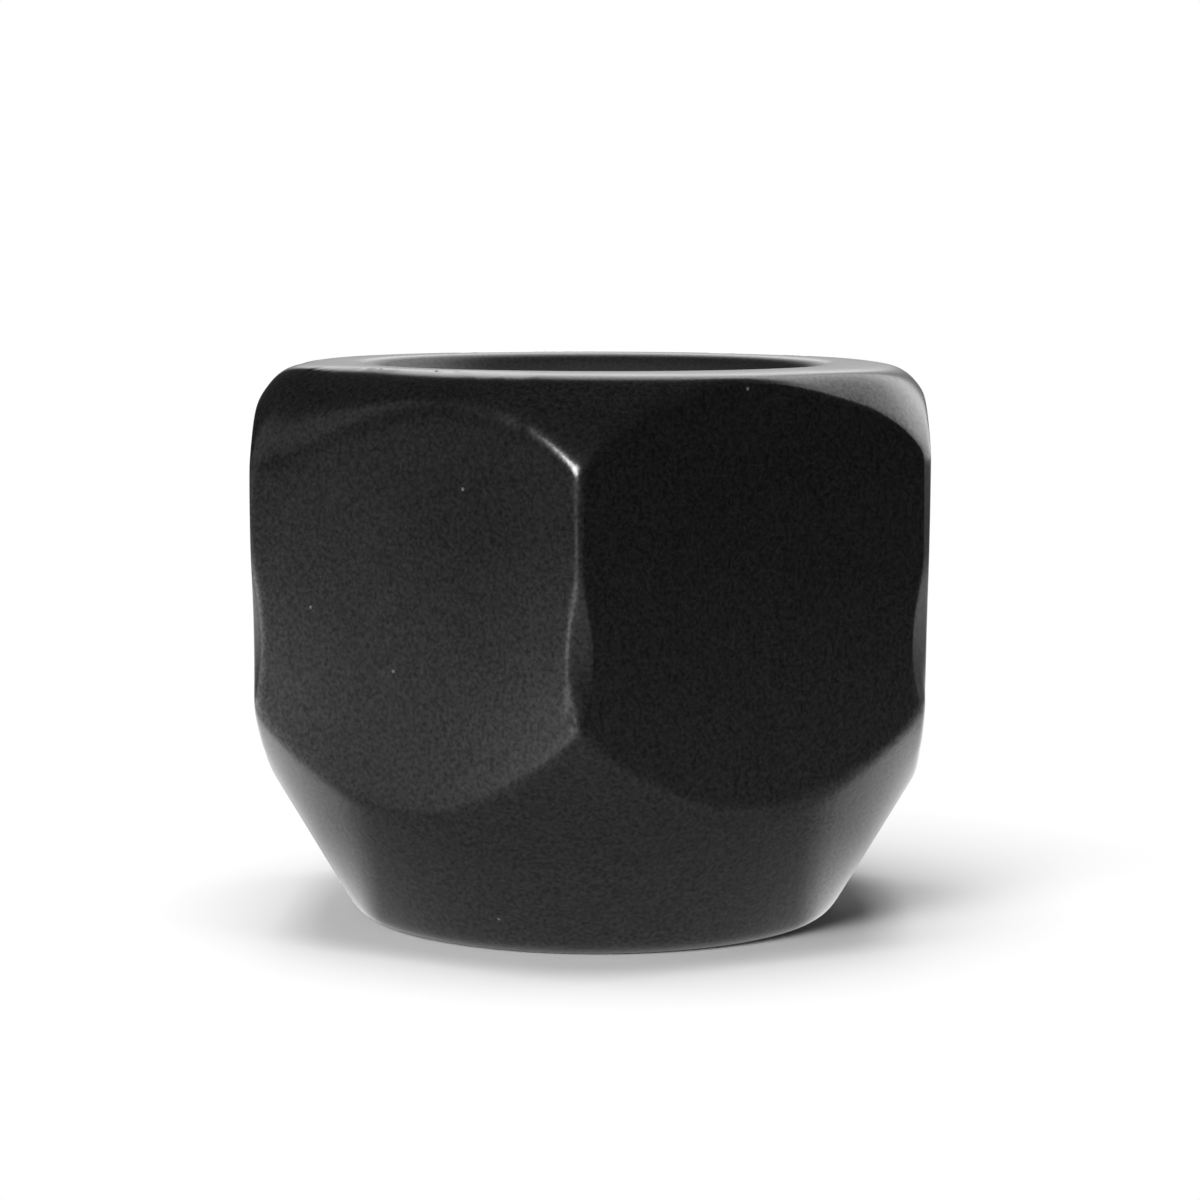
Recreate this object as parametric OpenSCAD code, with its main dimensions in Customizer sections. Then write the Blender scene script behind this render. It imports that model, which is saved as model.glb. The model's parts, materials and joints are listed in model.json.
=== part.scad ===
// Open-ended wheel nut, forged in one piece from steel and standing on its conical seat.
// Z runs up the thread axis, with zero at the small flat ring on the nose.
// One corner of the hexagon points to -Y, so two flats face +X and -X.

/* [Hexagon] */
// Wrench size across the flats, at half height
hex_af = 19; // [17:0.5:24]
// Overall height, from the nose ring to the top face
height = 16.3; // [14:0.1:22]
// Lean of each flat, wider towards the top, degrees
flat_draft = 0.8; // [0:0.1:2]
// How far the sharp corners are turned away, measured along the radius
corner_trim = 0.05; // [0.02:0.01:0.4]

/* [Thread] */
// Nominal diameter of the wheel stud
thread_d = 12; // [10:0.5:13]
// Pitch of the thread
thread_pitch = 1.5; // [1:0.25:2]
// Included angle of the countersinks at both mouths, degrees
sink_angle = 90; // [70:5:120]
// How far the top countersink opens beyond the thread, on the radius
top_sink_margin = 0.4; // [0.1:0.05:0.8]
// How far the nose countersink opens beyond the thread, on the radius
nose_sink_margin = 0.05; // [0:0.05:0.3]

/* [Seat] */
// Included angle of the conical seat, degrees
seat_angle = 60; // [50:1:75]
// Width of the flat ring on the nose
nose_ring = 0.35; // [0.2:0.05:0.8]
// Round between the nose ring and the seat
nose_round = 1; // [0.4:0.1:1.5]
// Bend between the seat and the upright corners
seat_bend = 2.7; // [1:0.1:4]

/* [Crown] */
// Width of the flat ring on the top face
rim_ring = 1.95; // [1.2:0.05:2.4]
// Round between the top face and the crown
crown_round = 1.35; // [0.8:0.05:2.2]
// Radius of the long arc from that round down to the corners
crown_arc = 7.3; // [5:0.1:12]
// Angle above the horizontal at which the long arc meets the round, degrees
crown_turn = 39; // [30:1:50]

/* [Corner reliefs] */
// Height of the middle of the shallow relief on each corner
relief_z = 8.6; // [7:0.1:10]
// Length of the relief along the corner
relief_length = 4.2; // [2:0.1:5]
// Depth of the relief below the turned corner
relief_depth = 0.2; // [0.05:0.01:0.3]

/* [Hidden] */
$fn = 128;

// Sides of the nut
flats = 6;
corner_angle = 360 / flats;
// Height of an inner screw thread's flanks for each millimetre of pitch, both sides together
thread_depth_factor = 1.0825;
// Length by which a cutter passes the face that it cuts
overrun = 1;

hex_apothem = hex_af / 2;
corner_r = hex_apothem / cos(corner_angle / 2) - corner_trim;

bore_r = (thread_d - thread_depth_factor * thread_pitch) / 2;
top_sink_r = thread_d / 2 + top_sink_margin;
nose_sink_r = thread_d / 2 + nose_sink_margin;

// The seat's cone is tangent to the nose round below it and to the bend above it
seat_lean = seat_angle / 2;
nose_flat_r = nose_sink_r + nose_ring;
nose_tangent = [nose_flat_r + nose_round * cos(seat_lean), nose_round * (1 - sin(seat_lean))];

seat_corner_z = nose_tangent[1] + (corner_r - nose_tangent[0]) / tan(seat_lean);
bend_centre = [corner_r - seat_bend, seat_corner_z + seat_bend * tan(seat_lean / 2)];
bend_tangent = bend_centre + seat_bend * [cos(seat_lean), -sin(seat_lean)];

// The crown's round is tangent to the top face and to the long arc below it
crown_flat_r = top_sink_r + rim_ring;
round_centre = [crown_flat_r, height - crown_round];
round_foot_z = round_centre[1] + crown_round * sin(crown_turn);
arc_centre = round_centre - (crown_arc - crown_round) * [cos(crown_turn), sin(crown_turn)];

// Radius of the cylinder that leaves a relief of the wanted length and depth
relief_r = (pow(relief_length / 2, 2) + pow(relief_depth, 2)) / (2 * relief_depth);

coat_black = [0.08, 0.08, 0.08];

// Six leaning flats, each the face of a block that reaches past the axis
module hexagon() {
    block = 4 * hex_af + 2 * height;
    intersection_for(side = [0 : flats - 1])
        rotate([0, 0, side * corner_angle])
            translate([hex_apothem, 0, height / 2])
                rotate([0, flat_draft, 0])
                    translate([-block, -block / 2, -block / 2])
                        cube(block);
}

// Everything above the seat: nose ring, nose round, cone, and the bend up to the turned corners
module above_seat() {
    bend_top = [corner_r, bend_centre[1]];
    rotate_extrude() {
        polygon([[0, 0], [nose_flat_r, 0], nose_tangent, bend_tangent, bend_top, [corner_r, height], [0, height]]);
        translate([nose_flat_r, nose_round])
            circle(nose_round);
        translate(bend_centre)
            circle(seat_bend);
    }
}

// Everything below the crown: top face, round, and the long arc down to its widest level
module below_crown() {
    widest_r = arc_centre[0] + crown_arc;
    rotate_extrude() {
        square([crown_flat_r, height]);
        square([widest_r, arc_centre[1]]);
        translate(round_centre)
            circle(crown_round);
        intersection() {
            translate(arc_centre)
                circle(crown_arc);
            translate([0, arc_centre[1]])
                square([widest_r, round_foot_z - arc_centre[1]]);
        }
    }
}

// Hole for the stud at the thread's inner diameter, countersunk at both mouths
module stud_hole() {
    slope = tan(sink_angle / 2);
    top_depth = (top_sink_r - bore_r) / slope;
    nose_depth = (nose_sink_r - bore_r) / slope;
    past = overrun * slope;
    translate([0, 0, -overrun])
        cylinder(r = bore_r, h = height + 2 * overrun);
    translate([0, 0, height - top_depth])
        cylinder(r1 = bore_r, r2 = top_sink_r + past, h = top_depth + overrun);
    translate([0, 0, -overrun])
        cylinder(r1 = nose_sink_r + past, r2 = bore_r, h = nose_depth + overrun);
}

// Shallow hollow along each corner, where the forging did not fill
module corner_reliefs() {
    for (corner = [0 : flats - 1])
        rotate([0, 0, (corner + 0.5) * corner_angle])
            translate([corner_r - relief_depth + relief_r, 0, relief_z])
                rotate([90, 0, 0])
                    cylinder(r = relief_r, h = hex_af / 2, center = true);
}

module lug_nut() {
    color(coat_black)
        difference() {
            intersection() {
                hexagon();
                above_seat();
                below_crown();
            }
            stud_hole();
            corner_reliefs();
        }
}

lug_nut();
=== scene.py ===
# %% [markdown]
# # A black wheel nut: turned, pressed and tapped
# The real nut is one piece of steel. A bar is cut to length, turned to a round blank with a crown
# and a conical seat, pressed in a hexagonal die, tapped for the wheel stud and coated black.
# The lesson follows the same steps in Blender, because each visible edge of the nut comes from one
# of them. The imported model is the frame: it gives the size and place, and is never changed. The nut
# is made a hair lower than it, so that nothing passes its box.

# %% Load the frame
import json
import math

import bpy
from mathutils import Matrix, Vector


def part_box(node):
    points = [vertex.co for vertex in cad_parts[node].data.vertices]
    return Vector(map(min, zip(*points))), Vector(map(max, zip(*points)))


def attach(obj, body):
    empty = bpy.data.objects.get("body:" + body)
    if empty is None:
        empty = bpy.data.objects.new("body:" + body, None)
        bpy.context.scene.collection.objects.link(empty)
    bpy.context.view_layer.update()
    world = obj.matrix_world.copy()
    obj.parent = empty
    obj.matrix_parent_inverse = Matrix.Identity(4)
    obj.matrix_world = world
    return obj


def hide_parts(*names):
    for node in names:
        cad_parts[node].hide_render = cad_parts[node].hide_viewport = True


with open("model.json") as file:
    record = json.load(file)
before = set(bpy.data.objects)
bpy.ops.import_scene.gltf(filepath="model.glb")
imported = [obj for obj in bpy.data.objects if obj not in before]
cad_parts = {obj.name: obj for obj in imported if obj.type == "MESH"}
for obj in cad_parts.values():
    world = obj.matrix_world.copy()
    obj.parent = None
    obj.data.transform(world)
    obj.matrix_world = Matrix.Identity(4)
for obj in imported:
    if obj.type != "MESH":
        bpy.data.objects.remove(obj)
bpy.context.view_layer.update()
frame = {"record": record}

MM = 0.001
nut_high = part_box("lug_nut")[1]
hair = 0.001 * MM
height = nut_high.z - hair
corner_radius = nut_high.y
mounts = {mount["name"]: mount for mount in frame["record"]["mounts"]}
bore_radius = mounts["stud_thread"]["dims"]["r_mm"] * MM
print(f"frame: height {height / MM:.2f} mm, corners {corner_radius / MM:.2f} mm from the axis")
print(f"frame: bore {bore_radius / MM:.3f} mm in radius")

# %% [markdown]
# ## The pen
# A turned blank is a profile that goes once round the axis. The profile could be typed in as a list
# of points, but it is easier to read as pen strokes: a plane is merged to a single vertex, and that
# vertex is extruded along straight lines and spun along arcs. Each stroke leaves its last vertex
# selected, so the next stroke goes on from there.
# The strokes are cut into steps. A press needs metal that can flow: small faces are what later lets
# the round blank take the shape of the die, so the steps are short where the borders of the flats
# will run, and long where nothing happens.

# %% Strokes of the pen
GRID = 0.1 * MM
WIDE_GRID = 0.3 * MM


def pen_down(name, point):
    """Starts a new piece as one vertex at point, and stays in edit mode."""
    bpy.ops.object.select_all(action="DESELECT")
    bpy.ops.mesh.primitive_plane_add(size=GRID)
    piece = bpy.context.object
    piece.name = name
    bpy.ops.object.mode_set(mode="EDIT")
    bpy.ops.mesh.merge(type="CENTER")
    bpy.ops.transform.translate(value=point)
    return piece


def pen_line(start, end, step=GRID):
    """Extrudes the selected vertex from start to end, in steps of about the given length."""
    stroke = end - start
    steps = math.ceil(stroke.length / step)
    for _ in range(steps):
        bpy.ops.mesh.extrude_vertices_move(TRANSFORM_OT_translate={"value": stroke / steps})
    return end


def pen_arc(centre, radius, start_angle, end_angle, step=GRID):
    """Spins the selected vertex about centre, between two angles above the outward direction."""
    turn = end_angle - start_angle
    steps = math.ceil(abs(turn) * radius / step)
    bpy.ops.mesh.spin(steps=steps, angle=turn, center=centre, axis=(0, 1, 0))
    return on_arc(centre, radius, end_angle)


def on_arc(centre, radius, angle):
    """Point of an arc in the plane of the profile."""
    return centre + radius * Vector((math.cos(angle), 0, math.sin(angle)))


def profile_point(radius, level):
    return Vector((radius, 0, level))


print(f"pen: steps of about {GRID / MM:.1f} or {WIDE_GRID / MM:.1f} mm")

# %% [markdown]
# ## The turned blank
# Seen in section, the nut has a small flat ring on its nose, a round, the conical seat, a soft bend
# up to the corners, a straight stretch, a crown that curves in with two arcs, a flat ring on top, a
# round lip, a countersink, the hole and a smaller countersink below. The profile goes round all of
# that once and ends where it began, so the spun blank is a closed ring with no caps to fill.

# %% Sizes of the profile
thread_radius = 6 * MM
top_sink_radius = thread_radius + 0.75 * MM
nose_sink_radius = thread_radius + 0.05 * MM
sink_turn = math.radians(45)
sink_slope = math.tan(sink_turn)

nose_ring = 0.35 * MM
nose_round = 1.0 * MM
seat_lean = math.radians(30.6)
seat_bend = 2.7 * MM

lip_round = 0.9 * MM
rim_ring = 1.02 * MM
crown_round = 1.35 * MM
crown_arc = 9 * MM
crown_turn = math.radians(39)

nose_flat_radius = nose_sink_radius + nose_ring
nose_centre = profile_point(nose_flat_radius, nose_round)
seat_start = on_arc(nose_centre, nose_round, -seat_lean)

bend_reach = seat_bend * math.tan(seat_lean / 2)
seat_corner_level = seat_start.z + (corner_radius - seat_start.x) / math.tan(seat_lean)
bend_centre = profile_point(corner_radius - seat_bend, seat_corner_level + bend_reach)
bend_start = on_arc(bend_centre, seat_bend, -seat_lean)
plain_seat_share = 0.6

lip_radius = top_sink_radius + lip_round * math.tan(sink_turn / 2)
lip_centre = profile_point(lip_radius, height - lip_round)

crown_flat_radius = lip_radius + rim_ring
round_centre = profile_point(crown_flat_radius, height - crown_round)
arc_centre = on_arc(round_centre, crown_round - crown_arc, crown_turn)
crown_foot_angle = math.acos((corner_radius - arc_centre.x) / crown_arc)
crown_foot = on_arc(arc_centre, crown_arc, crown_foot_angle)
print(f"profile: upright corners from {bend_centre.z / MM:.2f} to {crown_foot.z / MM:.2f} mm")
print(f"profile: top ring from {lip_radius / MM:.2f} to {crown_flat_radius / MM:.2f} mm from the axis")

# %% Draw the profile
profile_start = profile_point(nose_sink_radius, 0)
top_sink_end = profile_point(bore_radius, height - (top_sink_radius - bore_radius) / sink_slope)
nose_sink_end = profile_point(bore_radius, (nose_sink_radius - bore_radius) / sink_slope)

nut = pen_down("forged_nut", profile_start)
pen = pen_line(profile_start, profile_point(nose_flat_radius, 0), WIDE_GRID)
pen = pen_arc(nose_centre, nose_round, -math.pi / 2, -seat_lean)
pen = pen_line(pen, seat_start.lerp(bend_start, plain_seat_share), WIDE_GRID)
pen = pen_line(pen, bend_start)
pen = pen_arc(bend_centre, seat_bend, -seat_lean, 0)
pen = pen_line(pen, crown_foot, WIDE_GRID)
pen = pen_arc(arc_centre, crown_arc, crown_foot_angle, crown_turn)
pen = pen_arc(round_centre, crown_round, crown_turn, math.pi / 2)
pen = pen_line(pen, profile_point(lip_radius, height), rim_ring)
pen = pen_arc(lip_centre, lip_round, math.pi / 2, math.pi / 2 + sink_turn)
pen = pen_line(pen, top_sink_end, height)
pen = pen_line(pen, nose_sink_end, height)
pen = pen_line(pen, profile_start, height)
print(f"profile: ends {(pen - profile_start).length / MM:.3f} mm from its start")

# %% [markdown]
# ## Once round the axis
# One spin of the whole turn would do, but Blender goes through the whole mesh at each step of a spin.
# So the profile is spun over one sixth of the turn, and a last spin copies that sixth five times.
# The sixths share their borders, which are then merged. A sixth runs from the middle of one flat to
# the middle of the next, with a corner half way, and its steps are finest at the corner.

# %% Spin the profile round the axis
FLATS = 6
SPINS = ((22, 24), (6, 12), (4, 10), (6, 12), (22, 24))
SAME_PLACE = 1e-7
half_corner = math.pi / FLATS


def close_skin():
    """Merges vertices that lie in one place and turns all faces outwards, in edit mode."""
    bpy.ops.mesh.select_all(action="SELECT")
    bpy.ops.mesh.remove_doubles(threshold=SAME_PLACE)
    bpy.ops.mesh.normals_make_consistent(inside=False)


def copy_round():
    """Copies the whole piece to the other five sixths of the turn, in edit mode."""
    bpy.ops.mesh.select_all(action="SELECT")
    turn = (FLATS - 1) * 2 * half_corner
    bpy.ops.mesh.spin(dupli=True, steps=FLATS - 1, angle=turn, center=(0, 0, 0), axis=(0, 0, 1))


bpy.ops.mesh.select_all(action="SELECT")
for degrees, steps in SPINS:
    bpy.ops.mesh.spin(steps=steps, angle=math.radians(degrees), center=(0, 0, 0), axis=(0, 0, 1))
copy_round()
close_skin()
bpy.ops.object.mode_set(mode="OBJECT")
print(f"blank: {len(nut.data.polygons)} faces")

# %% [markdown]
# ## A crown that isn't quite round
# In the photo the flat at the front right runs up almost to the rim, and its neighbour at the front
# left ends lower, so the crown stands further out on the right, and a little at the left corner too.
# A sculpting brush could do it, but a proportional move is exact: one column of the crown's vertices
# moves, and the crown beside it follows less and less. Each row below has a name, the azimuth in
# degrees of a column that the spin made, how far it moves, how far the move reaches and how it fades.
# The small moves come first, because the large one shifts their columns sideways. The top ring, the
# hole and the seat are hidden, because hidden vertices stay put.

# %% Push the crown out and in
PUSHES = (
    ("left corner", -66, 0.6 * MM, 3.1 * MM, "SMOOTH"),
    ("right corner", 60, 0.1 * MM, 3 * MM, "SMOOTH"),
    ("right end of the front right flat", 43.75, -0.2 * MM, 2.8 * MM, "SMOOTH"),
    ("front right flat", 30, 0.75 * MM, 9.5 * MM, "SPHERE"),
)


def towards(azimuth, elevation):
    """Direction from the nut, with azimuth 0 at the front corner and positive to the right."""
    a, e = math.radians(azimuth), math.radians(elevation)
    return Vector((math.sin(a) * math.cos(e), -math.cos(a) * math.cos(e), math.sin(e)))


def select_vertices(piece, wanted):
    """Selects the vertices that a test of their place wants, and stays in edit mode."""
    bpy.ops.object.mode_set(mode="EDIT")
    bpy.ops.mesh.select_mode(type="VERT")
    bpy.ops.mesh.select_all(action="DESELECT")
    bpy.ops.object.mode_set(mode="OBJECT")
    for vertex in piece.data.vertices:
        vertex.select = wanted(vertex.co)
    bpy.ops.object.mode_set(mode="EDIT")


def from_axis(place):
    return math.hypot(place.x, place.y)


ring_edge = crown_flat_radius + GRID / 10


def stays(place):
    """True on the top ring, in the hole, and on the seat and its bend."""
    return from_axis(place) < ring_edge or place.z < bend_centre.z


def in_column(place, outwards):
    """True on the crown's outside where it faces straight outwards."""
    on_crown = place.z > crown_foot.z - SAME_PLACE and from_axis(place) > crown_flat_radius
    return on_crown and place.xy.length - place.xy.dot(outwards.xy) < SAME_PLACE


select_vertices(nut, stays)
bpy.ops.mesh.hide()
for name, side, push, reach, falloff in PUSHES:
    outwards = towards(side, 0)
    select_vertices(nut, lambda place: in_column(place, outwards))
    bpy.ops.transform.translate(
        value=outwards * push,
        use_proportional_edit=True,
        proportional_edit_falloff=falloff,
        proportional_size=reach,
    )
    print(f"crown: {name} moved by {push / MM:+.2f} mm")
bpy.ops.mesh.reveal(select=False)
bpy.ops.object.mode_set(mode="OBJECT")

# %% [markdown]
# ## The die
# The die is the hexagon that the blank is pressed into. It starts as a six-sided cylinder. Its upper
# ring is widened and its lower ring narrowed a little, because a forged flat leans so that the nut
# comes out of the die. It sits a hair to the right, as in the photo. A Boolean with a cylinder turns
# its corners to one radius. Each corner then gets a shallow lens-shaped hollow where the steel didn't
# quite fill the die: one large cylinder lies across a corner, is copied round the axis by a spin, and
# a Boolean takes it away.

# %% Hexagon with leaning flats
hex_apothem = 9.47 * MM
flat_draft = math.radians(0.6)
die_overrun = 1 * MM
die_offset = 0.05 * MM

die_depth = height + 2 * die_overrun
widening = die_depth / 2 * math.tan(flat_draft) / hex_apothem

bpy.ops.object.select_all(action="DESELECT")
bpy.ops.mesh.primitive_cylinder_add(
    vertices=FLATS,
    radius=hex_apothem / math.cos(half_corner),
    depth=die_depth,
    location=(die_offset, 0, height / 2),
)
die = bpy.context.object
die.name = "die"
bpy.ops.object.transform_apply(location=True, rotation=True, scale=True)
for end in (1, -1):
    select_vertices(die, lambda place: end * (place.z - height / 2) > 0)
    size = 1 + end * widening
    bpy.ops.transform.resize(value=(size, size, 1), center_override=(0, 0, 0))
bpy.ops.object.mode_set(mode="OBJECT")
print(f"die: {len(die.data.polygons)} faces")

# %% Turn the die's corners to one radius
TURNED_STEPS = 720


def apply_modifier(piece, kind, **settings):
    """Adds a modifier with these settings and applies it."""
    bpy.ops.object.select_all(action="DESELECT")
    piece.select_set(True)
    bpy.context.view_layer.objects.active = piece
    modifier = piece.modifiers.new(kind.lower(), kind)
    for setting, value in settings.items():
        setattr(modifier, setting, value)
    bpy.ops.object.modifier_apply(modifier=modifier.name)


def boolean(piece, operation, cutter):
    """Applies a Boolean with the cutter, and throws the cutter away."""
    apply_modifier(piece, "BOOLEAN", operation=operation, solver="MANIFOLD", object=cutter)
    bpy.data.objects.remove(cutter)


bpy.ops.object.select_all(action="DESELECT")
bpy.ops.mesh.primitive_cylinder_add(
    vertices=TURNED_STEPS,
    radius=corner_radius,
    depth=die_depth / 2 + height,
    location=(0, 0, height / 2),
)
boolean(die, "INTERSECT", bpy.context.object)
print(f"die with turned corners: {len(die.data.polygons)} faces")

# %% Lens-shaped hollows on the corners
relief_level = 8.6 * MM
relief_length = 4.2 * MM
relief_depth = 0.2 * MM

relief_radius = ((relief_length / 2) ** 2 + relief_depth**2) / (2 * relief_depth)

bpy.ops.object.select_all(action="DESELECT")
bpy.ops.mesh.primitive_cylinder_add(
    vertices=TURNED_STEPS,
    radius=relief_radius,
    depth=relief_length,
    location=(0, -(corner_radius - relief_depth + relief_radius), relief_level),
    rotation=(0, math.pi / 2, 0),
)
hollows = bpy.context.object
bpy.ops.object.transform_apply(location=True, rotation=True, scale=True)
bpy.ops.object.mode_set(mode="EDIT")
copy_round()
bpy.ops.object.mode_set(mode="OBJECT")
boolean(die, "DIFFERENCE", hollows)
print(f"die with hollows: {len(die.data.polygons)} faces")

# %% [markdown]
# ## The press
# A Boolean would cut the hexagon out of the blank with knife edges. The real nut is pressed, so its
# borders are soft. A Shrinkwrap modifier set to Inside moves only the vertices that stand outside
# the die, and lays them on its wall, as a press does. A few rounds of smoothing then ease the borders
# of the flats. A vertex group keeps the smoothing off the rings and the hole, which are machined
# after the press and keep their crisp edges. The arch over the front left flat is softer than the
# others, so it gets more rounds, over spans that become narrower so that it has no abrupt end.

# %% Press the blank into the die
EASE_ROUNDS = 24
EASE_SHARE = 0.5

apply_modifier(nut, "SHRINKWRAP", target=die, wrap_method="NEAREST_SURFACEPOINT", wrap_mode="INSIDE")
bpy.data.objects.remove(die)


def is_outside(place):
    """True on the outside of the nut, away from the nose ring, the top ring and the hole."""
    beyond_nose_ring = GRID < place.z < height / 2 and from_axis(place) > nose_flat_radius
    return beyond_nose_ring or from_axis(place) > crown_flat_radius


def ease(name, wanted, rounds):
    """Smooths the vertices that a test of their place wants."""
    select_vertices(nut, wanted)
    bpy.ops.object.vertex_group_assign_new()
    nut.vertex_groups.active.name = name
    bpy.ops.object.mode_set(mode="OBJECT")
    apply_modifier(nut, "SMOOTH", factor=EASE_SHARE, iterations=rounds, vertex_group=name)


ease("forged_skin", is_outside, EASE_ROUNDS)
print(f"pressed nut: {len(nut.data.polygons)} faces")

# %% Ease the left arch further
ARCH_ROUNDS = 40
ARCH_SPANS = ((-60, -8), (-58, -14), (-56, -20))
arch_foot = 13 * MM


def in_arch(place, first, last):
    """True on the crown between two azimuths."""
    azimuth = math.degrees(math.atan2(place.x, -place.y))
    return place.z > arch_foot and is_outside(place) and first < azimuth < last


for first, last in ARCH_SPANS:
    ease(f"left_arch_{-first}", lambda place: in_arch(place, first, last), ARCH_ROUNDS)
print(f"left arch: {ARCH_ROUNDS * len(ARCH_SPANS)} more rounds")

# %% [markdown]
# ## The thread
# The hole has a right-hand M12 thread with a pitch of 1.5 mm. A tap makes it on the real nut, and so
# it does here: the tooth of the tap is drawn once, the Screw modifier winds it into a long spiral
# ridge, and a Boolean takes the ridge out of the hole. The tap is longer than the nut, so that the
# thread runs out through both countersinks.

# %% Wind the tap
pitch = 1.5 * MM
tooth_overlap = 0.2 * MM
flank_angle = math.radians(30)
tip_share = 1 / 8
SPARE_TURNS = 2
TAP_STEPS = 96

tooth_root = bore_radius - tooth_overlap
tooth_tip_half = pitch * tip_share / 2
tooth_root_half = tooth_tip_half + (thread_radius - tooth_root) * math.tan(flank_angle)
tap_start = -SPARE_TURNS * pitch
turns = math.ceil((height - 2 * tap_start) / pitch)
tooth = [
    profile_point(tooth_root, tap_start - tooth_root_half),
    profile_point(thread_radius, tap_start - tooth_tip_half),
    profile_point(thread_radius, tap_start + tooth_tip_half),
    profile_point(tooth_root, tap_start + tooth_root_half),
]
tap = pen_down("tap", tooth[0])
for here, there in zip(tooth, tooth[1:] + tooth[:1]):
    pen_line(here, there, thread_radius)
close_skin()
bpy.ops.object.mode_set(mode="OBJECT")
apply_modifier(
    tap,
    "SCREW",
    axis="Z",
    angle=2 * math.pi,
    screw_offset=pitch,
    iterations=turns,
    steps=TAP_STEPS,
    render_steps=TAP_STEPS,
)
bpy.ops.object.mode_set(mode="EDIT")
bpy.ops.mesh.select_all(action="SELECT")
bpy.ops.mesh.fill_holes(sides=len(tooth))
close_skin()
bpy.ops.object.mode_set(mode="OBJECT")
print(f"tap: {turns} turns, {len(tap.data.polygons)} faces")

# %% Tap the hole
SMOOTH_ANGLE = math.radians(35)

boolean(nut, "DIFFERENCE", tap)
bpy.ops.object.select_all(action="DESELECT")
nut.select_set(True)
bpy.ops.object.shade_smooth_by_angle(angle=SMOOTH_ANGLE)
nut.data.calc_loop_triangles()
print(f"tapped nut: {len(nut.data.loop_triangles)} triangles")

# %% [markdown]
# ## The black coat
# The coat is a thin satin black paint over steel. A single black would look like a hole in the
# picture, so two patterns work together, both on Object coordinates. A slow cloudiness shifts the
# gloss a little, and a fine grain shifts the black, makes it sparkle and lifts the surface by a few
# microns. Inside the hole, where the tap has been, the coat is thinner, greyer, rougher and duller.
# The helpers add to the tree whose nodes and links are at hand, so the floor and the room use them too.

# %% Make the coat
COAT_IOR = 1.5
COLOUR_UNDER = 6
COLOUR_OVER = 7
COLOUR_RESULT = 2

coat = bpy.data.materials.new("black_coat")
coat.use_nodes = True
nodes, links = coat.node_tree.nodes, coat.node_tree.links
paint = nodes["Principled BSDF"]
paint.inputs["IOR"].default_value = COAT_IOR
place_on_nut = nodes.new("ShaderNodeTexCoord").outputs["Object"]


def add_node(kind, **settings):
    """Adds a node with these settings."""
    node = nodes.new(kind)
    for setting, value in settings.items():
        setattr(node, setting, value)
    return node


def add_noise(scale, detail):
    """Adds a noise on the nut's own coordinates."""
    noise = add_node("ShaderNodeTexNoise")
    links.new(place_on_nut, noise.inputs["Vector"])
    noise.inputs["Scale"].default_value = scale
    noise.inputs["Detail"].default_value = detail
    return noise.outputs["Fac"]


def add_range(value, low, high, to_low, to_high):
    """Maps a value from one range to another, and holds it there."""
    mapped = add_node("ShaderNodeMapRange", clamp=True)
    links.new(value, mapped.inputs["Value"])
    for socket, number in (
        ("From Min", low),
        ("From Max", high),
        ("To Min", to_low),
        ("To Max", to_high),
    ):
        mapped.inputs[socket].default_value = number
    return mapped.outputs["Result"]


def add_math(operation, first, second):
    """Works with two values, each a socket or a plain number."""
    node = add_node("ShaderNodeMath", operation=operation)
    for socket, value in zip(node.inputs, (first, second)):
        if isinstance(value, (int, float)):
            socket.default_value = value
        else:
            links.new(value, socket)
    return node.outputs["Value"]


def add_without_height(vector):
    """The same vector without its height."""
    across = add_node("ShaderNodeVectorMath", operation="MULTIPLY")
    links.new(vector, across.inputs[0])
    across.inputs[1].default_value = (1, 1, 0)
    return across.outputs["Vector"]


def add_colour_mix(mask, under, over):
    """Lays one colour over another where the mask is 1, each a socket or a plain colour."""
    mix = add_node("ShaderNodeMix", data_type="RGBA")
    links.new(mask, mix.inputs["Factor"])
    for number, colour in ((COLOUR_UNDER, under), (COLOUR_OVER, over)):
        if isinstance(colour, tuple):
            mix.inputs[number].default_value = colour
        else:
            links.new(colour, mix.inputs[number])
    return mix.outputs[COLOUR_RESULT]


print(f"coat: satin paint with a refractive index of {COAT_IOR}")

# %% Grain, clouds and the thinner coat in the hole
COAT_DARK = (0.002, 0.002, 0.002, 1)
COAT_PALE = (0.007, 0.007, 0.007, 1)
COAT_THIN = (0.02, 0.02, 0.02, 1)
SATIN_ROUGHNESS = (0.19, 0.23)
SPARKLE = (0.32, 0.68)
TAPPED_ROUGHNESS = 0.33
TAPPED_GLOSS = 0.65
cloud_scale = 260
cloud_detail = 4
cloud_span = (0.35, 0.65)
grain_scale = 9000
grain_detail = 3
grain_span = (0.3, 0.7)
grain_lift = 0.004 * MM
grain_strength = 0.4

clouds = add_noise(cloud_scale, cloud_detail)
grain = add_noise(grain_scale, grain_detail)
black = add_colour_mix(add_range(grain, *grain_span, 0, 1), COAT_DARK, COAT_PALE)

radius = add_node("ShaderNodeVectorMath", operation="LENGTH")
links.new(add_without_height(place_on_nut), radius.inputs[0])
in_hole = add_range(radius.outputs["Value"], thread_radius, top_sink_radius, 1, 0)
black = add_colour_mix(in_hole, black, COAT_THIN)

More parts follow.
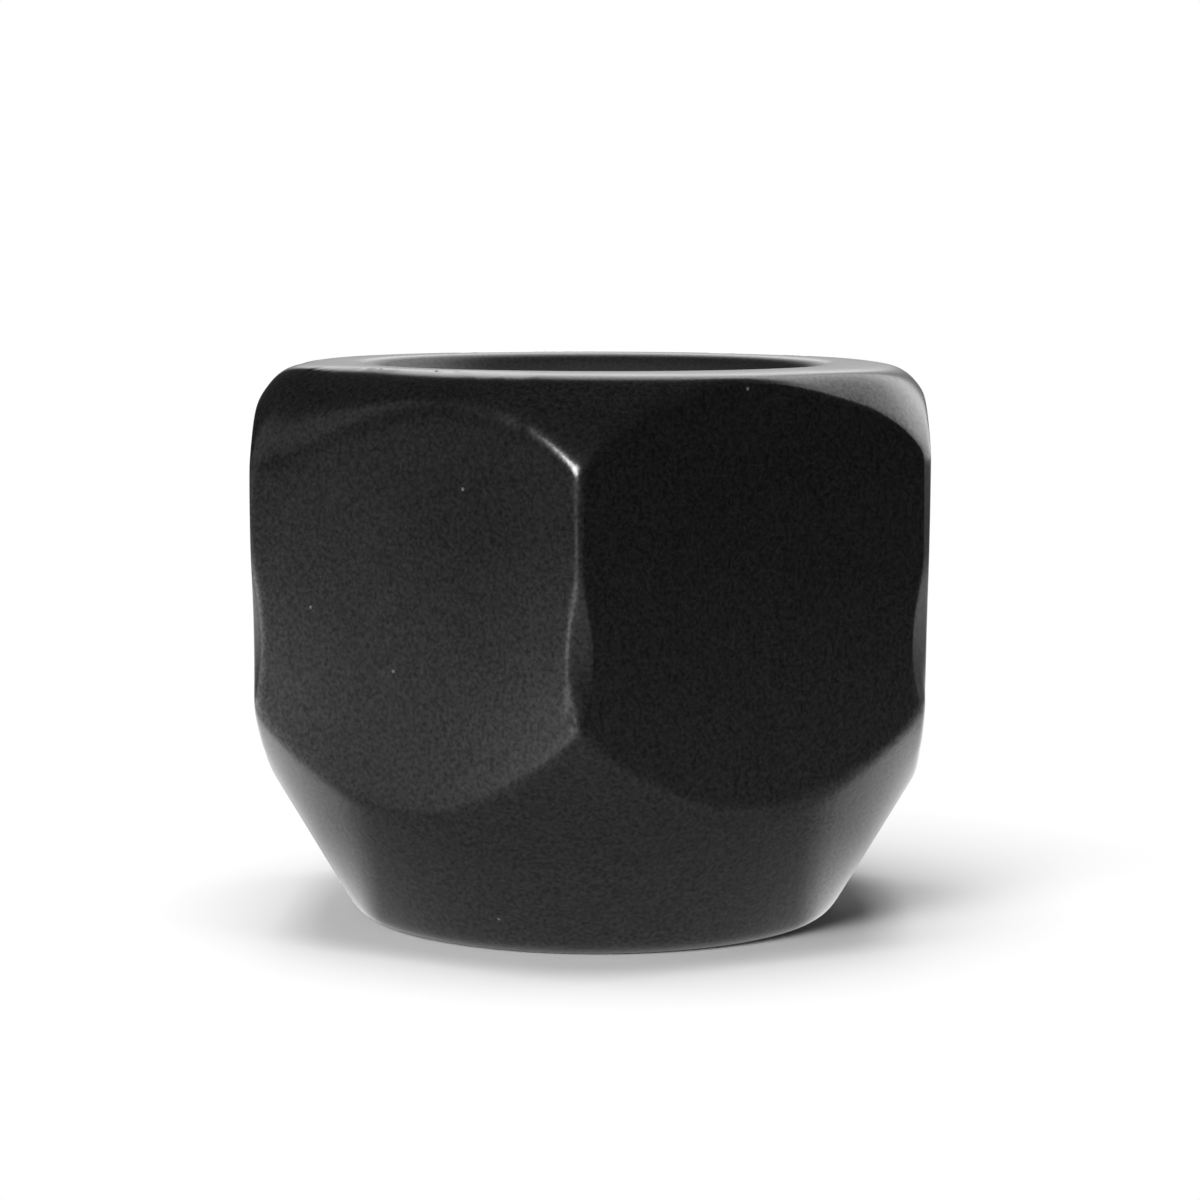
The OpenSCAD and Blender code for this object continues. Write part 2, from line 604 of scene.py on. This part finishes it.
satin = add_range(clouds, *cloud_span, *SATIN_ROUGHNESS)
tapped = add_range(radius.outputs["Value"], top_sink_radius, lip_radius, TAPPED_ROUGHNESS, 0)
links.new(add_math("MAXIMUM", satin, tapped), paint.inputs["Roughness"])
gloss = add_range(radius.outputs["Value"], top_sink_radius, lip_radius, TAPPED_GLOSS, 1)
sparkle = add_math("MULTIPLY", gloss, add_range(grain, *grain_span, *SPARKLE))
links.new(sparkle, paint.inputs["Specular IOR Level"])
lift = add_node("ShaderNodeBump")
lift.inputs["Strength"].default_value = grain_strength
lift.inputs["Distance"].default_value = grain_lift
links.new(grain, lift.inputs["Height"])
links.new(lift.outputs["Normal"], paint.inputs["Normal"])
print(f"coat: grain and clouds make {len(nodes)} nodes")

# %% [markdown]
# ## Specks of dust
# A few pale specks of dust lie on the nut, and the coat shows them where the photo does. Each is the
# inside of a tiny ball round a place on the surface, so it needs no picture and no unwrapping: a node
# measures the distance to that place, and a range turns it into a mask.

# %% Put the specks on the coat
DUST = (0.08, 0.08, 0.08, 1)
speck_radius = 0.06 * MM
LEFT_FLAT, RIGHT_FLAT = -30, 30


def on_flat(side, sideways, level):
    """Place on the flat that faces a side, sideways from its middle and at a level."""
    outwards, along = towards(side, 0), towards(side + 90, 0)
    apothem = hex_apothem + die_offset * outwards.x + (level - height / 2) * math.tan(flat_draft)
    return outwards * apothem + along * sideways + Vector((0, 0, level))


def on_seat(azimuth, level):
    """Place on the conical seat, at an azimuth and a level."""
    seat_radius = seat_start.x + (level - seat_start.z) * math.tan(seat_lean)
    return towards(azimuth, 0) * seat_radius + Vector((0, 0, level))


def add_speck(place):
    """Mask of one speck: 1 close to its place and 0 beyond its radius."""
    gap = add_node("ShaderNodeVectorMath", operation="DISTANCE")
    links.new(place_on_nut, gap.inputs[0])
    gap.inputs[1].default_value = place
    return add_range(gap.outputs["Value"], speck_radius / 2, speck_radius, 1, 0)


specks = (
    on_flat(LEFT_FLAT, -3.35 * MM, 9.7 * MM),
    on_flat(LEFT_FLAT, -0.55 * MM, 8.1 * MM),
    on_flat(LEFT_FLAT, 1.8 * MM, 13.2 * MM),
    on_flat(RIGHT_FLAT, -0.4 * MM, 15.9 * MM),
    on_seat(-18, 1.1 * MM),
)
dust = add_speck(specks[0])
for place in specks[1:]:
    dust = add_math("MAXIMUM", dust, add_speck(place))
links.new(add_colour_mix(dust, black, DUST), paint.inputs["Base Color"])

nut.data.materials.clear()
nut.data.materials.append(coat)
print(f"coat: {len(nodes)} nodes, {len(specks)} specks")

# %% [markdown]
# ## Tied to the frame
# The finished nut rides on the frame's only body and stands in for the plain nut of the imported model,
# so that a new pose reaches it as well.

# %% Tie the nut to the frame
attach(nut, "root")
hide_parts("lug_nut")

# %% [markdown]
# ## The floor
# The floor is white paper. The camera sees its soft shadow close to the nut, and plain white further
# out, by way of Is Camera Ray. A black coat shows the floor as a dim mirror, so Is Glossy Ray gives
# the paper a painted brightness of its own in reflections, a glow that no lamp makes: grey in front,
# paler at the sides and beside the nose, with two painted pools of light at the front left and the
# left, and painted shade at the front right, which is why that flat of the nut is the darkest. One
# helper makes the sides, the pools and the shade: it is 1 towards an azimuth and fades to 0 to both
# sides. Azimuths and spreads are in degrees.

# %% Lay the floor
FLOOR_SIZE = 4
WHITE = (1, 1, 1, 1)
FLOOR_WHITE = (0.9, 0.9, 0.9, 1)
shadow_end = 9 * MM
white_start = 21 * MM


def add_side(vector, azimuth, full, gone):
    """1 within full degrees of an azimuth, fading to 0 at gone degrees from it."""
    unit = add_node("ShaderNodeVectorMath", operation="NORMALIZE")
    links.new(vector, unit.inputs[0])
    dot = add_node("ShaderNodeVectorMath", operation="DOT_PRODUCT")
    links.new(unit.outputs["Vector"], dot.inputs[0])
    dot.inputs[1].default_value = towards(azimuth, 0)
    gone_dot = math.cos(math.radians(gone))
    full_dot = math.cos(math.radians(full))
    return add_range(dot.outputs["Value"], gone_dot, full_dot, 0, 1)


bpy.ops.object.select_all(action="DESELECT")
bpy.ops.mesh.primitive_plane_add(size=FLOOR_SIZE)
floor = bpy.context.object
floor.name = "floor"

paper = bpy.data.materials.new("floor_white")
paper.use_nodes = True
nodes, links = paper.node_tree.nodes, paper.node_tree.links
nodes.remove(nodes["Principled BSDF"])
place_on_floor = nodes.new("ShaderNodeTexCoord").outputs["Object"]
rays = nodes.new("ShaderNodeLightPath")
measure = add_node("ShaderNodeVectorMath", operation="LENGTH")
links.new(place_on_floor, measure.inputs[0])
distance = measure.outputs["Value"]

matte = add_node("ShaderNodeBsdfDiffuse")
matte.inputs["Color"].default_value = FLOOR_WHITE
seen_white = add_node("ShaderNodeEmission")
beyond_shadow = add_range(distance, shadow_end, white_start, 0, 1)
far_off = add_math("MULTIPLY", beyond_shadow, rays.outputs["Is Camera Ray"])
print(f"floor: {FLOOR_SIZE} m wide, plain white from {white_start / MM:.0f} mm off the axis")

# %% Painted brightness of the floor in reflections
BACK = 180
mirrored_front = 0.64
mirrored_sides = 1.5
sides_full = 104.5
sides_gone = 118
GLOW_AZIMUTH = -30
mirrored_glow = 3.1
glow_full = 11
glow_gone = 26
LEFT_AZIMUTH = -85
mirrored_left = 3.2
left_full = 0
left_gone = 22
pools_start = 24 * MM
pools_full = 50 * MM
mirrored_at_nose = 1.6
mirrored_near = 0.6
near_end = 24 * MM
dim_start = 40 * MM
dim_end = 110 * MM
dim_share = 0.12
SHADE_AZIMUTH = 62
shade_depth = 0.62
shade_side_full = 41.4
shade_side_gone = 66.4
shade_start = 16 * MM
shade_full = 30 * MM

# Painted reflection: an emission that only reflections see, with painted pools of light, painted shade
# at the front right and painted dimming close round the nut.
painted_reflection = add_node("ShaderNodeEmission")
at_sides = add_side(place_on_floor, BACK, sides_full, sides_gone)
grey = add_range(at_sides, 0, 1, mirrored_front, mirrored_sides)
at_front_left = add_side(place_on_floor, GLOW_AZIMUTH, glow_full, glow_gone)
front_pool = add_math("MULTIPLY", at_front_left, mirrored_glow)
at_left = add_side(place_on_floor, LEFT_AZIMUTH, left_full, left_gone)
left_pool = add_math("MULTIPLY", at_left, mirrored_left)
clear_of_nut = add_range(distance, pools_start, pools_full, 0, 1)
glow = add_math("MULTIPLY", add_math("ADD", front_pool, left_pool), clear_of_nut)
at_nose = add_range(distance, nose_flat_radius, corner_radius, mirrored_at_nose, 1)
near = add_range(distance, corner_radius, near_end, mirrored_near, 1)
pool = add_range(distance, dim_start, dim_end, 1, dim_share)
in_shade = add_math(
    "MULTIPLY",
    add_side(place_on_floor, SHADE_AZIMUTH, shade_side_full, shade_side_gone),
    add_range(distance, shade_start, shade_full, 0, shade_depth),
)
close_by = add_math("MULTIPLY", at_nose, near)
lit = add_math("MULTIPLY", add_math("MULTIPLY", add_math("ADD", grey, glow), close_by), pool)
links.new(add_math("MULTIPLY", lit, add_math("SUBTRACT", 1, in_shade)), painted_reflection.inputs["Strength"])


def add_shader_mix(factor, first, second):
    """Shows the first shader where the factor is 0, and the second where it is 1."""
    mix = add_node("ShaderNodeMixShader")
    links.new(factor, mix.inputs["Fac"])
    links.new(first, mix.inputs[1])
    links.new(second, mix.inputs[2])
    return mix.outputs["Shader"]


plain = add_shader_mix(far_off, matte.outputs["BSDF"], seen_white.outputs["Emission"])
surface = add_shader_mix(rays.outputs["Is Glossy Ray"], plain, painted_reflection.outputs["Emission"])
links.new(surface, nodes["Material Output"].inputs["Surface"])
floor.data.materials.append(paper)
print(f"floor: {len(nodes)} nodes")

# %% [markdown]
# ## The room and its lamps
# The camera sees a white room. In reflections the room is dim, because the coat in the photo mirrors
# dark surroundings, except for a tall panel at the back that is brightest above the horizon: the top
# ring and the round below it mirror that panel. A soft lamp at the back right draws the pale shoulder
# and shows in reflections only, a small one at the front left draws the glint along the arch and the
# corner, a faint one at the left draws the soft edge there, and a soft one overhead lights the paper
# and stays out of reflections. The panel's spread and its levels above the horizon are in degrees.

# %% Paint the room
ROOM_DIM = (0.05, 0.05, 0.05, 1)
PANEL = (1.75, 1.75, 1.75, 1)
PANEL_AZIMUTH = 181
panel_full = 6
panel_gone = 13
panel_at_horizon = 0.08
horizon_start = 1.7
horizon_end = 13
panel_top_start = 46
panel_top_end = 57


def sine(degrees):
    return math.sin(math.radians(degrees))


world = bpy.data.worlds.new("studio")
bpy.context.scene.world = world
world.use_nodes = True
nodes, links = world.node_tree.nodes, world.node_tree.links
direction = nodes.new("ShaderNodeTexCoord").outputs["Generated"]
split = add_node("ShaderNodeSeparateXYZ")
links.new(direction, split.inputs["Vector"])
rise = split.outputs["Z"]
from_horizon = add_range(rise, sine(horizon_start), sine(horizon_end), panel_at_horizon, 1)
below_top = add_range(rise, sine(panel_top_start), sine(panel_top_end), 1, 0)
at_back = add_side(add_without_height(direction), PANEL_AZIMUTH, panel_full, panel_gone)
panel = add_math("MULTIPLY", at_back, add_math("MULTIPLY", from_horizon, below_top))
room = nodes["Background"]
links.new(add_colour_mix(panel, ROOM_DIM, PANEL), room.inputs["Color"])
seen_room = add_node("ShaderNodeBackground")
seen_room.inputs["Color"].default_value = WHITE
rays = nodes.new("ShaderNodeLightPath")
surface = add_shader_mix(
    rays.outputs["Is Camera Ray"], room.outputs["Background"], seen_room.outputs["Background"]
)
links.new(surface, nodes["World Output"].inputs["Surface"])
print(f"room: {len(nodes)} nodes")


# %% Hang the lamps
def add_lamp(name, azimuth, elevation, distance, width, tall, brightness):
    """Adds a soft lamp that looks at the middle of the nut; a brightness of 1 looks white."""
    aim = Vector((0, 0, height / 2))
    way = towards(azimuth, elevation)
    bpy.ops.object.light_add(type="AREA", location=aim + way * distance)
    lamp = bpy.context.object
    lamp.name = name
    lamp.rotation_euler = way.to_track_quat("Z", "Y").to_euler()
    lamp.data.shape = "RECTANGLE"
    lamp.data.size = width
    lamp.data.size_y = tall
    lamp.data.energy = brightness * math.pi * width * tall
    return lamp


overhead = add_lamp(
    "overhead", azimuth=0, elevation=90, distance=0.2, width=0.16, tall=0.16, brightness=4.8
)
overhead.visible_glossy = False
add_lamp("front_left", azimuth=-27, elevation=20, distance=0.25, width=0.08, tall=0.1, brightness=28)
back_right = add_lamp(
    "back_right", azimuth=130, elevation=26, distance=0.3, width=0.38, tall=0.3, brightness=1.75
)
back_right.visible_diffuse = False
add_lamp("left", azimuth=-92, elevation=16, distance=0.3, width=0.2, tall=0.18, brightness=0.36)
print("lamps: overhead, front left, back right and left")

# %% [markdown]
# ## The camera
# The photo was taken from close by and from a little above the nut's middle. The camera's place and
# lens were worked out from the nut's outline in the photo: the angle, the distance and the length of
# the lens in pixels are the values here, and the rest follows from them.

# %% Stand the camera where the photo was taken
camera_azimuth = 2.144
camera_elevation = 6.155
camera_distance = 101.54 * MM
camera_roll = math.radians(0.152)
aim_right = 0.165 * MM
aim_level = 9.25 * MM
photo_width = 1200
focal_pixels = 3433
sensor_width = 36
clip_share = 0.1

camera_data = bpy.data.cameras.new("camera")
camera = bpy.data.objects.new("camera", camera_data)
bpy.context.scene.collection.objects.link(camera)
back_way = towards(camera_azimuth, camera_elevation)
right_way = Vector((0, 0, 1)).cross(back_way).normalized()
up_way = back_way.cross(right_way)
turned_right = right_way * math.cos(camera_roll) + up_way * math.sin(camera_roll)
turned_up = up_way * math.cos(camera_roll) - right_way * math.sin(camera_roll)
camera.matrix_world = Matrix.Translation(
    right_way * aim_right + Vector((0, 0, aim_level)) + back_way * camera_distance
) @ Matrix((turned_right, turned_up, back_way)).transposed().to_4x4()
camera_data.sensor_width = sensor_width
camera_data.lens = focal_pixels / photo_width * sensor_width
camera_data.clip_start = camera_distance * clip_share
bpy.context.scene.camera = camera
bpy.context.scene.view_settings.view_transform = "Standard"
print(f"camera: {camera_data.lens:.1f} mm lens")
